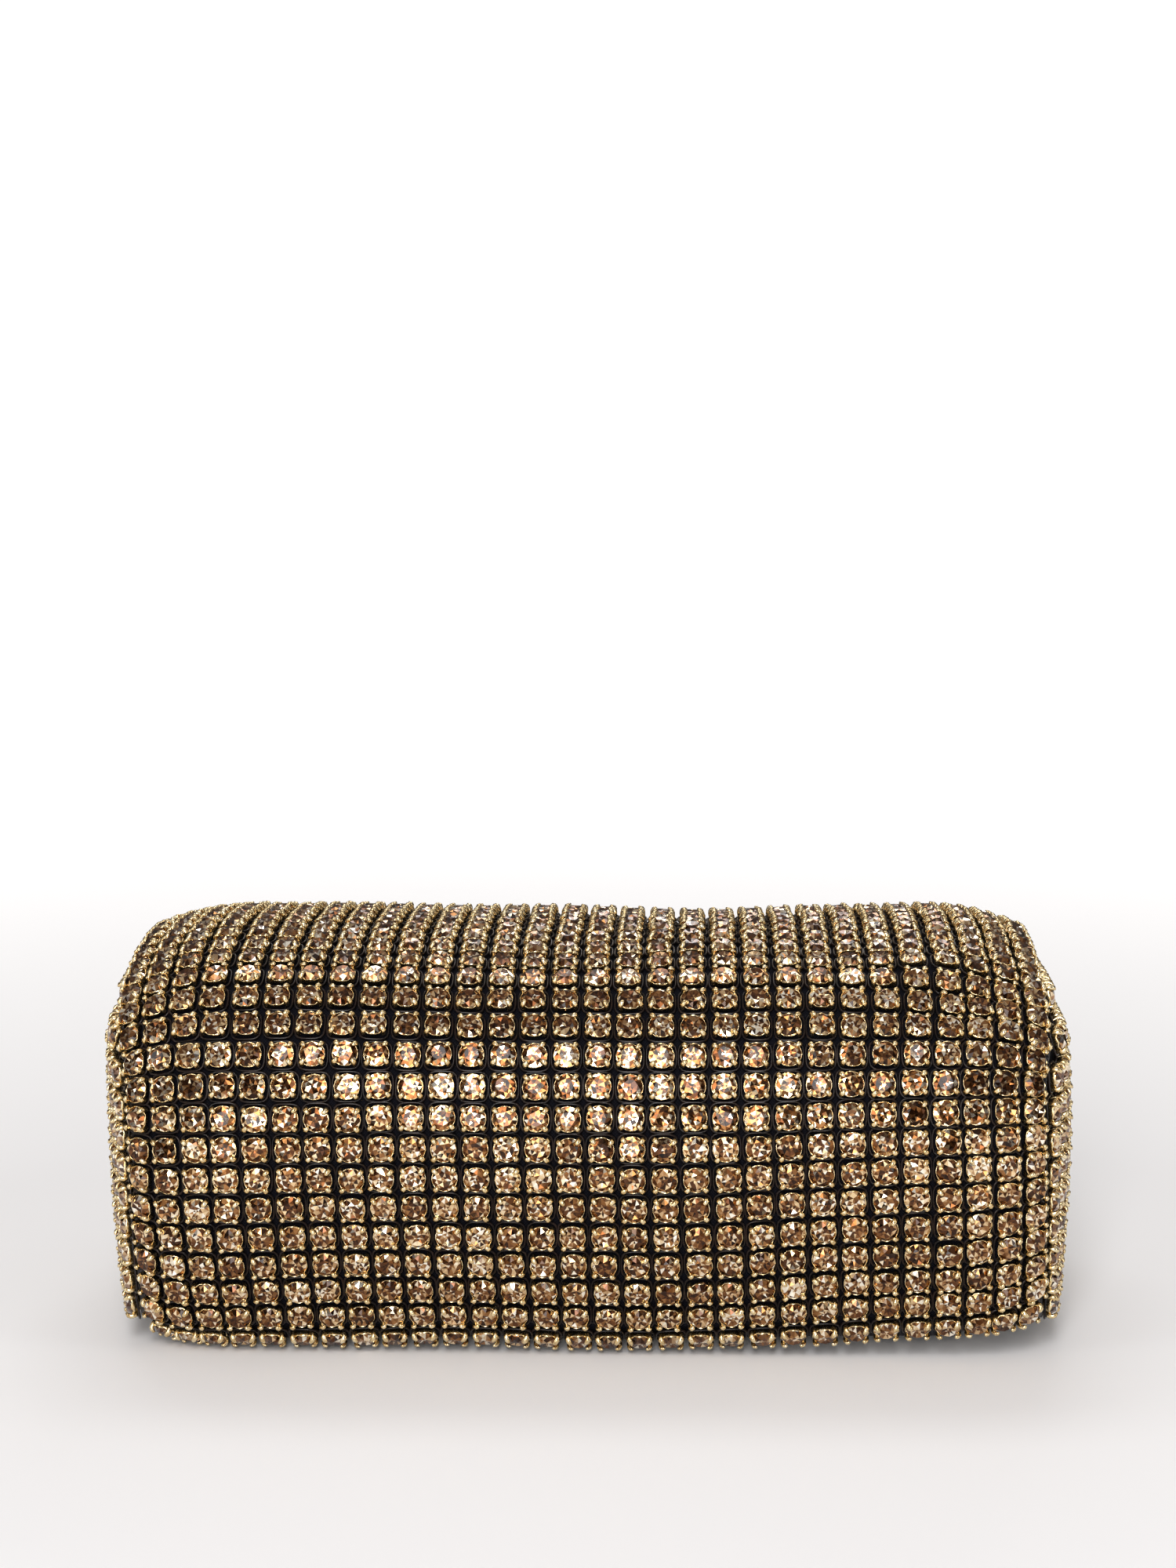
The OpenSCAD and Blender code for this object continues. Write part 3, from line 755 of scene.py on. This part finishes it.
def gusset_sheet(name, side, h_out, h_in, material):
    """A closed sheet of a gusset between two heights, in rings round its middle."""
    edge = gusset_outline(GUSSET_SHEET_INSET)
    centre = np.array([GUSSET_Y, GUSSET_Z])
    share = np.concatenate([np.linspace(0.02, 0.9, 9), [0.96, 1.0]])
    ring = centre + share[:, None, None] * (edge - centre)[None]
    y, z = ring[..., 0], ring[..., 1]
    rows, cols = y.shape
    n = rows * cols
    i = np.arange(cols)
    j = (i + 1) % cols
    hub = np.stack([i, j, n + j, n + i], -1)
    rim = hub + (rows - 1) * cols
    faces = [grid_faces(rows, cols, flip=side < 0, closed=True),
             grid_faces(rows, cols, n, flip=side > 0, closed=True), rim[:, ::side], hub[:, ::-side]]
    points = np.concatenate([gusset_point(side, y, z, h) for h in (h_out, h_in)])
    cloth = np.stack([y, z, 0 * y], -1)
    obj = build(name, points, np.concatenate(faces), material, cloth=np.concatenate([cloth, cloth]))
    return obj


def gusset_rim(name, side):
    """The cloth that binds the gusset's edge and turns in all round."""
    rings = []
    for inset in (-0.3, 0.5):
        y, z = gusset_outline(inset).T
        outer = gusset_point(side, y, z, 0.05)
        inner = outer.copy()
        inner[:, 0] = side * RIM_X + LEAN * (LEAN_Z - z)
        rings += [outer, inner]
    verts = np.stack([rings[i] for i in (0, 1, 3, 2, 0)], 0)
    rows, cols = verts.shape[:2]
    faces = grid_faces(rows, cols, flip=side > 0, closed=True)
    along = np.broadcast_to(np.arange(cols) * GUSSET_STEP, (rows, cols))
    cloth = np.stack([along, np.broadcast_to(np.arange(rows)[:, None], (rows, cols)), 0 * along], -1)
    return build(name, verts, faces, "black_trim", cloth=cloth)


def gusset_spots():
    """y and z of the gusset's stones, in level rows: the end stone of each keeps to the outline, and the
    ones before it ease back to the even pitch of the middle."""
    line = gusset_outline()
    ahead = np.roll(line, -1, 0)
    spots = []
    for z in GUSSET_Z + PITCH * np.arange(-6, 7):
        cut = (line[:, 1] != ahead[:, 1]) & ((line[:, 1] - z) * (ahead[:, 1] - z) <= 0)
        if cut.sum() < 2:
            continue
        a, b = line[cut], ahead[cut]
        ends = a[:, 0] + (b[:, 0] - a[:, 0]) * (z - a[:, 1]) / (b[:, 1] - a[:, 1])
        for way, room in ((-1, GUSSET_Y - ends.min()), (1, ends.max() - GUSSET_Y)):
            reach = room - GUSSET_EDGE
            count = round(reach / PITCH + 0.5)
            k = np.arange(count)
            ease = np.maximum(0, (k - count + 1 + GUSSET_EASED) / GUSSET_EASED)
            off = (k + 0.5) * PITCH + (reach - (count - 0.5) * PITCH) * ease
            spots += [(GUSSET_Y + way * d, z) for d in off]
    return np.array(spots)


def gusset(name, side):
    y, z = gusset_spots().T
    places, axes = frames_of(lambda a, b: gusset_point(side, side * a, b, 0.0), side * y, z)
    stone_group(name, "root", places, axes)
    for piece, h_out, h_in, material, node_name in (
            ("_net_cloth", 0.0, MESH_IN, "cloth", "_mesh"),
            ("_stiffener", MESH_IN, BOARD_IN, "board", "_board"),
            ("_satin", BOARD_IN, FLAP_IN, "satin_lining", "_lining")):
        place(gusset_sheet(name + piece, side, h_out, h_in, material), "root", name + node_name)
    place(gusset_rim(name + "_turned_edge", side), "root", name + "_rim")


# ---------------------------------------- small parts
def stitches(name, body, line, normals, length=2.2, gap=1.1, radius=0.2):
    """Running stitches along a line of points."""
    along = way_along(line)
    count = int((along[-1] - length) / (length + gap))
    at = (np.arange(count) + 0.5) * (length + gap)
    p = np.stack([np.interp(at, along, line[:, i]) for i in range(3)], -1)
    q = np.stack([np.interp(at + 0.1, along, line[:, i]) for i in range(3)], -1)
    n = np.stack([np.interp(at, along, normals[:, i]) for i in range(3)], -1)
    ex, n = unit(q - p), unit(n)
    t = np.linspace(-1, 1, 7)
    sides = 6
    a = angles(sides)
    r = radius * np.sqrt(np.maximum(1 - np.abs(t) ** 3, 0.02))
    shape = np.stack([np.repeat(t * length / 2, sides), (r[:, None] * np.cos(a)).ravel(),
                      (r[:, None] * np.sin(a) + (0.12 * (1 - t ** 2))[:, None]).ravel()], -1)
    faces = grid_faces(len(t), sides, closed=True)
    place(instances(name, shape, faces, p, np.stack([ex, np.cross(n, ex), n], 1), "thread"), body)


SNAP_U = 46.0
SNAP_S = row_s(2.5)


def snap(name, body, side, h_face, h_back, node_name):
    """A magnetic snap disc with a rolled rim and a centre boss. Each point of its outline is (radius, share
    of the way from the back to the face)."""
    places, axes = frames_of(lambda a, b: surface(b, a, 0.0), np.array([side * SNAP_U]), np.array([SNAP_S]))
    outline = [(0.01, 0.55), (1.6, 0.55), (1.9, 0.78), (2.6, 0.78), (2.9, 0.62), (5.2, 0.62), (5.6, 0.9),
               (6.3, 1.0), (6.8, 0.85), (7.0, 0.5), (7.0, 0.0), (0.01, 0.0)]
    turns = 48
    a = angles(turns)
    rows = [np.stack([r * np.cos(a), r * np.sin(a), np.full(turns, h_back + (h_face - h_back) * z)], -1)
            for r, z in outline]
    faces = grid_faces(len(rows), turns, flip=h_face > h_back, closed=True)
    place(instances(name, np.concatenate(rows), faces, places, axes, "snap_metal"), body, node_name)


def flat_plate(name, node_name, z0, z1, material, inset=0.0, radius=12.0, bevel=0.1, wider=(0.0, 0.0)):
    """A flat plate of the base with round corners, over the CAD plate's own box or a little wider."""
    low, high = (np.array(c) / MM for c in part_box(node_name))
    hx, y0, y1 = high[0] - inset + wider[0], low[1] + inset - wider[1], high[1] - inset + wider[1]
    corner = []
    for cx, cy, start in ((hx - radius, y1 - radius, 0), (-hx + radius, y1 - radius, 90),
                          (-hx + radius, y0 + radius, 180), (hx - radius, y0 + radius, 270)):
        for a in np.radians(np.linspace(start, start + 90, 10)):
            corner.append((cx + radius * math.cos(a), cy + radius * math.sin(a)))
    edge = np.array(corner)
    centre = np.array([0.0, (y0 + y1) / 2])
    shares = [(0.01, z1), (0.5, z1), (0.93, z1), (1 - bevel / hx, z1), (1.0, z1 - bevel), (1.0, z0 + bevel),
              (1 - bevel / hx, z0), (0.5, z0), (0.01, z0)]
    rows = [np.concatenate([centre + share * (edge - centre), np.full((len(edge), 1), z)], 1)
            for share, z in shares]
    verts = settle(np.stack(rows, 0))
    faces = grid_faces(len(rows), len(edge), flip=True, closed=True)
    return place(build(name, verts, faces, material, cloth=verts), "root", node_name)


def edge_line(s, u, h):
    """A line over a panel, and its outward normals."""
    p = surface(s, u, h, True)
    return p, unit(surface(s, u, h + 1.0, True) - p)


# ---------------------------------------- the bag
def build_base():
    """A covered pad to stand on, a board, and satin that runs on under the walls."""
    board_z = BASE_Z + BOARD_T
    flat_plate("base_pad_grosgrain", "base_pad", 0.0, BASE_Z, "black_trim", bevel=0.6)
    flat_plate("base_stiffener", "base_board", BASE_Z, board_z, "board", inset=0.1)
    satin = flat_plate("base_satin", "base_lining", board_z, board_z + LINING_T, "satin_lining", radius=1.0,
                       wider=(4.5, 4.0))


def build_bottom_edge():
    """The strip of net below the flap's hem, which rolls under the front edge."""
    start, end = 0.3, FLAP_LOW_S - 0.6
    rolled = {"straight": False, "step": 0.8}
    place(panel("bottom_edge_net_cloth", start, end, EDGE_HALF, 0.0, MESH_IN, "cloth", **rolled), "root",
          "bottom_edge_mesh")
    place(turned_edges("bottom_edge_turned_edges", start, end, **rolled), "root")
    place(panel("bottom_edge_hem_cloth", end - 0.35, end - 0.05, EDGE_HALF - 0.1, -0.1, FLAP_IN, "cloth",
                straight=False, step=0.2), "root")
    place(panel("bottom_edge_satin", start, end - 0.4, EDGE_HALF - 0.7, BOARD_IN, FLAP_IN + 0.1,
                "satin_lining", **rolled), "root")
    place(panel("bottom_edge_stiffener", start, end - 0.45, BOTTOM_BOARD_HALF, MESH_IN, BOARD_IN, "board",
                **rolled), "root", "bottom_edge_board")
    rows_of_stones("bottom_edge", "root", [row_s(0)])


def build_front_wall():
    """The inner wall behind the flap: a covered board with a bound mouth and two snap sockets."""
    for piece, half, h_out, h_in, material, node_name, ripple in (
            ("satin_cover", WALL_HALF, WALL_OUT, WALL_OUT - LINING_T, "satin_lining", "cover", 0.0),
            ("stiffener", WALL_HALF, WALL_OUT - LINING_T, WALL_IN + LINING_T, "board", "board", 0.0),
            ("satin", WALL_HALF - 0.5, WALL_IN + LINING_T, WALL_IN, "satin_lining", "lining", 0.12)):
        place(panel("front_wall_" + piece, WALL_LOW_S, WALL_TOP_S, half, h_out, h_in, material,
                    ripple=ripple), "root", "front_wall_" + node_name)
    u = np.linspace(-WALL_HALF, WALL_HALF, 120)
    line = surface(WALL_TOP_S + 0.4, u, (WALL_OUT + WALL_IN) / 2, True)
    place(tube("mouth_grosgrain_binding", line, 1.25, "black_trim", sides=12), "root", "mouth_binding")
    stitches("mouth_stitches", "root", *edge_line(WALL_TOP_S - 1.6, u, WALL_OUT + 0.05))
    for side, word in SIDES:
        snap(word + "_snap_socket_disc", "root", side, WALL_OUT + 0.9, WALL_OUT - 0.3,
             word + "_snap_socket")


def build_back():
    place(panel("back_net_cloth", BACK_END_S, BACK_LOW_S, EDGE_HALF, 0.0, MESH_IN, "cloth"), "root",
          "back_mesh")
    place(turned_edges("back_turned_edges", BACK_END_S, BACK_LOW_S), "root")
    place(panel("back_hem_cloth", BACK_END_S - 0.25, BACK_END_S + 0.1, EDGE_HALF - 0.1, -0.75,
                FLAP_IN - 0.05, "cloth", step=0.2), "root")
    place(panel("back_stiffener", BACK_END_S + 0.4, BACK_LOW_S - 0.4, EDGE_HALF - 0.6, MESH_IN, BOARD_IN,
                "board"), "root", "back_board")
    place(panel("back_satin", BACK_END_S + 0.2, BACK_LOW_S, EDGE_HALF - 0.55, BOARD_IN, FLAP_IN,
                "satin_lining", ripple=0.12), "root", "back_lining")
    rows_of_stones("back", "root", [BACK_ROW_S + PITCH * k for k in range(BACK_ROWS)])


def build_pocket():
    """A slip pocket on the back's lining, piped along its mouth and stitched round the other three sides."""
    top_s, low_s = START_S[5] + 12, START_S[6] - 2
    place(panel("slip_pocket_satin", top_s, low_s, POCKET_HALF, FLAP_IN - 0.15, FLAP_IN - 0.75,
                "satin_lining", ripple=0.15), "root", "slip_pocket")
    line = surface(top_s, np.linspace(-POCKET_HALF, POCKET_HALF, 80), FLAP_IN - 0.5, True)
    place(tube("slip_pocket_piping", line, 0.55, "black_trim", sides=10), "root")
    seam_u = POCKET_HALF - 1.5
    down = np.linspace(top_s + 1, low_s - 1, 40)
    s = np.concatenate([down, np.full(80, low_s - 1.5), down[::-1]])
    u = np.concatenate([np.full(40, -seam_u), np.linspace(-seam_u, seam_u, 80), np.full(40, seam_u)])
    line, normals = edge_line(s, u, FLAP_IN - 0.78)
    stitches("slip_pocket_stitches", "root", line, -normals, length=1.8, gap=1.0, radius=0.16)


def mid_point(s, h=0.0):
    """The point of the profile at s, in the bag's middle plane, h outward."""
    y, z, f = profile(s)
    return np.array([0.0, y - h * math.cos(f), z + h * math.sin(f)])


def blended(obj, a, b, start, end, *nodes):
    """Bake a piece's place into its mesh, and hide the CAD nodes it stands for. The bodies a and b and the
    points start and end are not used.
    """
    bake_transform(obj)
    if nodes:
        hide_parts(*nodes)


def over_crease(obj, *nodes):
    """Pass a piece of the flap to blended() with the two ends of its crease; it is not bent."""
    blended(obj, "flap_top", "flap_front", mid_point(CREASE_S + CREASE_REACH),
            mid_point(CREASE_S - CREASE_REACH), *nodes)


def flap_sheet(name, half, h_out, h_in, material, *nodes, ripple=0.0):
    """A sheet of the flap from the hem over the top to the hinge."""
    over_crease(panel(name, FLAP_LOW_S, FLAP_END_S, half, h_out, h_in, material, step=1.5, ripple=ripple),
                *nodes)


def build_flap():
    flap_sheet("flap_net_cloth", EDGE_HALF, 0.0, MESH_IN, "cloth", "flap_top_mesh", "flap_front_mesh")
    over_crease(turned_edges("flap_turned_edges", FLAP_LOW_S, FLAP_END_S))
    flap_sheet("flap_satin", EDGE_HALF - 0.55, BOARD_IN, FLAP_IN, "satin_lining", "flap_top_lining",
               "flap_front_lining", ripple=0.12)
    for body, s0, s1 in (("flap_front", FLAP_LOW_S + 0.4, CREASE_S - 0.5),
                         ("flap_top", CREASE_S + 0.5, FLAP_END_S - 0.4)):
        place(panel(body + "_stiffener", s0, s1, EDGE_HALF - 0.8, MESH_IN, BOARD_IN, "board"), body,
              body + "_board")
    for body, first, count in (("flap_front", 1, FRONT_ROWS), ("flap_top", 1 + FRONT_ROWS, TOP_ROWS)):
        rows_of_stones(body, body, [row_s(first + k) for k in range(count)])

    half = float(half_at(FLAP_LOW_S))
    line, normals = edge_line(FLAP_LOW_S, np.linspace(-half, half, 140), FLAP_IN / 2)
    place(tube("flap_hem_grosgrain", line, 0.62, "black_trim", sides=10, flatten=2.1, normals=normals),
          "flap_front", "flap_hem")
    s = np.linspace(FLAP_LOW_S, FLAP_END_S, 110)
    for side, word in SIDES:
        line, normals = edge_line(s, side * (half_at(s) + 0.1), FLAP_IN / 2)
        over_crease(tube(word + "_flap_edge_binding", line, 0.5, "black_trim", sides=10, flatten=2.6,
                         normals=normals))
        snap(word + "_snap_stud_disc", "flap_front", side, FLAP_IN - 0.9, FLAP_IN + 0.3,
             word + "_snap_stud")
    line, normals = edge_line(FLAP_LOW_S + 3, np.linspace(4 - half, half - 4, 140), FLAP_IN - 0.02)
    stitches("flap_hem_stitches", "flap_front", line, -normals)

    band = panel("hinge_band_grosgrain", FLAP_END_S - 0.2, BACK_END_S + 0.2, EDGE_HALF - 0.5, -0.1, -0.7,
                 "black_trim", step=0.5)
    blended(band, "flap_top", "root", mid_point(FLAP_END_S), mid_point(BACK_END_S), "hinge_band")


build_base()
build_bottom_edge()
build_front_wall()
build_back()
build_pocket()
for side_sign, side_word in SIDES:
    gusset(side_word + "_gusset", side_sign)
build_flap()


# ---------------------------------------- floor, light and camera
def floor():
    """A pale disc that glows more the farther it is from the bag, so that it ends in white."""
    m, tree, bsdf = new_material("pale_floor")
    set_inputs(bsdf, Base_Color=(0.88, 0.88, 0.88, 1), Roughness=0.7, Specular_IOR_Level=0.2,
               Emission_Color=(1, 1, 1, 1))
    reach = node(tree, "ShaderNodeVectorMath", operation="LENGTH")
    tree.links.new(node(tree, "ShaderNodeTexCoord").outputs["Object"], reach.inputs[0])
    glow = ramp(tree, math_node(tree, "MULTIPLY", reach.outputs["Value"], 0.5), [
        (0.08, (0.0, 0.0, 0.0)), (0.25, (0.3, 0.3, 0.3)), (0.6, (0.75, 0.75, 0.75)), (1.0, (0.9, 0.9, 0.9))])
    tree.links.new(glow, bsdf.inputs["Emission Strength"])
    bpy.ops.mesh.primitive_circle_add(vertices=128, radius=2.4, fill_type="NGON", location=(0, 0, -0.00015))
    obj = bpy.context.object
    obj.name = "floor"
    obj.data.materials.append(m)


AIM = (0, 0, 0.04)


def softbox(name, place_at, width, height, brightness, tint=(1, 1, 1)):
    """An area light aimed at the bag; brightness is its radiance."""
    light = bpy.data.lights.new(name, "AREA")
    light.shape = "RECTANGLE"
    light.size = width
    light.size_y = height
    light.energy = brightness * math.pi * width * height
    light.color = tint
    obj = linked(name, light)
    obj.location = place_at
    obj.rotation_euler = look(np.array(AIM) - np.array(place_at))


def look(direction):
    return Vector(direction).to_track_quat("-Z", "Y").to_euler()


def world():
    """White to the camera; to the stones, a dim studio that is brighter overhead."""
    w = bpy.data.worlds.new("studio")
    bpy.context.scene.world = w
    w.use_nodes = True
    tree = w.node_tree
    tree.nodes.clear()
    split = node(tree, "ShaderNodeSeparateXYZ")
    tree.links.new(node(tree, "ShaderNodeTexCoord").outputs["Generated"], split.inputs[0])
    sky = ramp(tree, split.outputs["Z"], [(0.0, (0.04, 0.035, 0.03)), (0.15, (0.07, 0.06, 0.055)),
                                          (0.5, (0.22, 0.20, 0.19)), (1.0, (0.55, 0.53, 0.52))])
    seen = set_inputs(node(tree, "ShaderNodeBackground"), Color=(1, 1, 1, 1), Strength=1.1)
    lit = set_inputs(node(tree, "ShaderNodeBackground"), Strength=1.0)
    tree.links.new(sky, lit.inputs["Color"])
    mix = node(tree, "ShaderNodeMixShader")
    tree.links.new(node(tree, "ShaderNodeLightPath").outputs["Is Camera Ray"], mix.inputs[0])
    tree.links.new(lit.outputs[0], mix.inputs[1])
    tree.links.new(seen.outputs[0], mix.inputs[2])
    tree.links.new(mix.outputs[0], node(tree, "ShaderNodeOutputWorld").inputs[0])


def lights():
    softbox("key", (-0.10, -1.30, 0.72), 0.42, 1.50, 10.5, (1.0, 0.985, 1.0))
    softbox("left_strip", (-1.25, -0.75, 0.45), 0.25, 0.9, 5.4)
    softbox("right_strip", (1.30, -0.60, 0.60), 0.22, 0.9, 4.7)
    softbox("overhead", (-0.1, 0.62, 1.35), 0.9, 0.4, 3.4)
    softbox("rear", (0.2, 1.5, 0.95), 0.7, 0.3, 3.5)


def camera():
    """At the viewing angle of the picture: a little above, a hair to the bag's right."""
    distance, elevation, azimuth = 0.565, math.radians(15.0), math.radians(1.44)
    pitch, yaw = math.radians(8.54), math.radians(1.36)
    back = np.array([math.sin(azimuth) * math.cos(elevation), -math.cos(azimuth) * math.cos(elevation),
                     math.sin(elevation)])
    target = mid_point(row_s(8), 2.6) * MM
    data = bpy.data.cameras.new("camera")
    data.lens = 67.8
    data.sensor_width = 36.0
    data.clip_start = 0.01
    obj = linked("camera", data)
    obj.location = target + back * distance
    forward = (-math.sin(yaw) * math.cos(pitch), math.cos(yaw) * math.cos(pitch), -math.sin(pitch))
    obj.rotation_euler = look(forward)
    bpy.context.scene.camera = obj


floor()
world()
lights()
camera()
bpy.context.scene.view_settings.view_transform = "Standard"

bpy.context.view_layer.update()
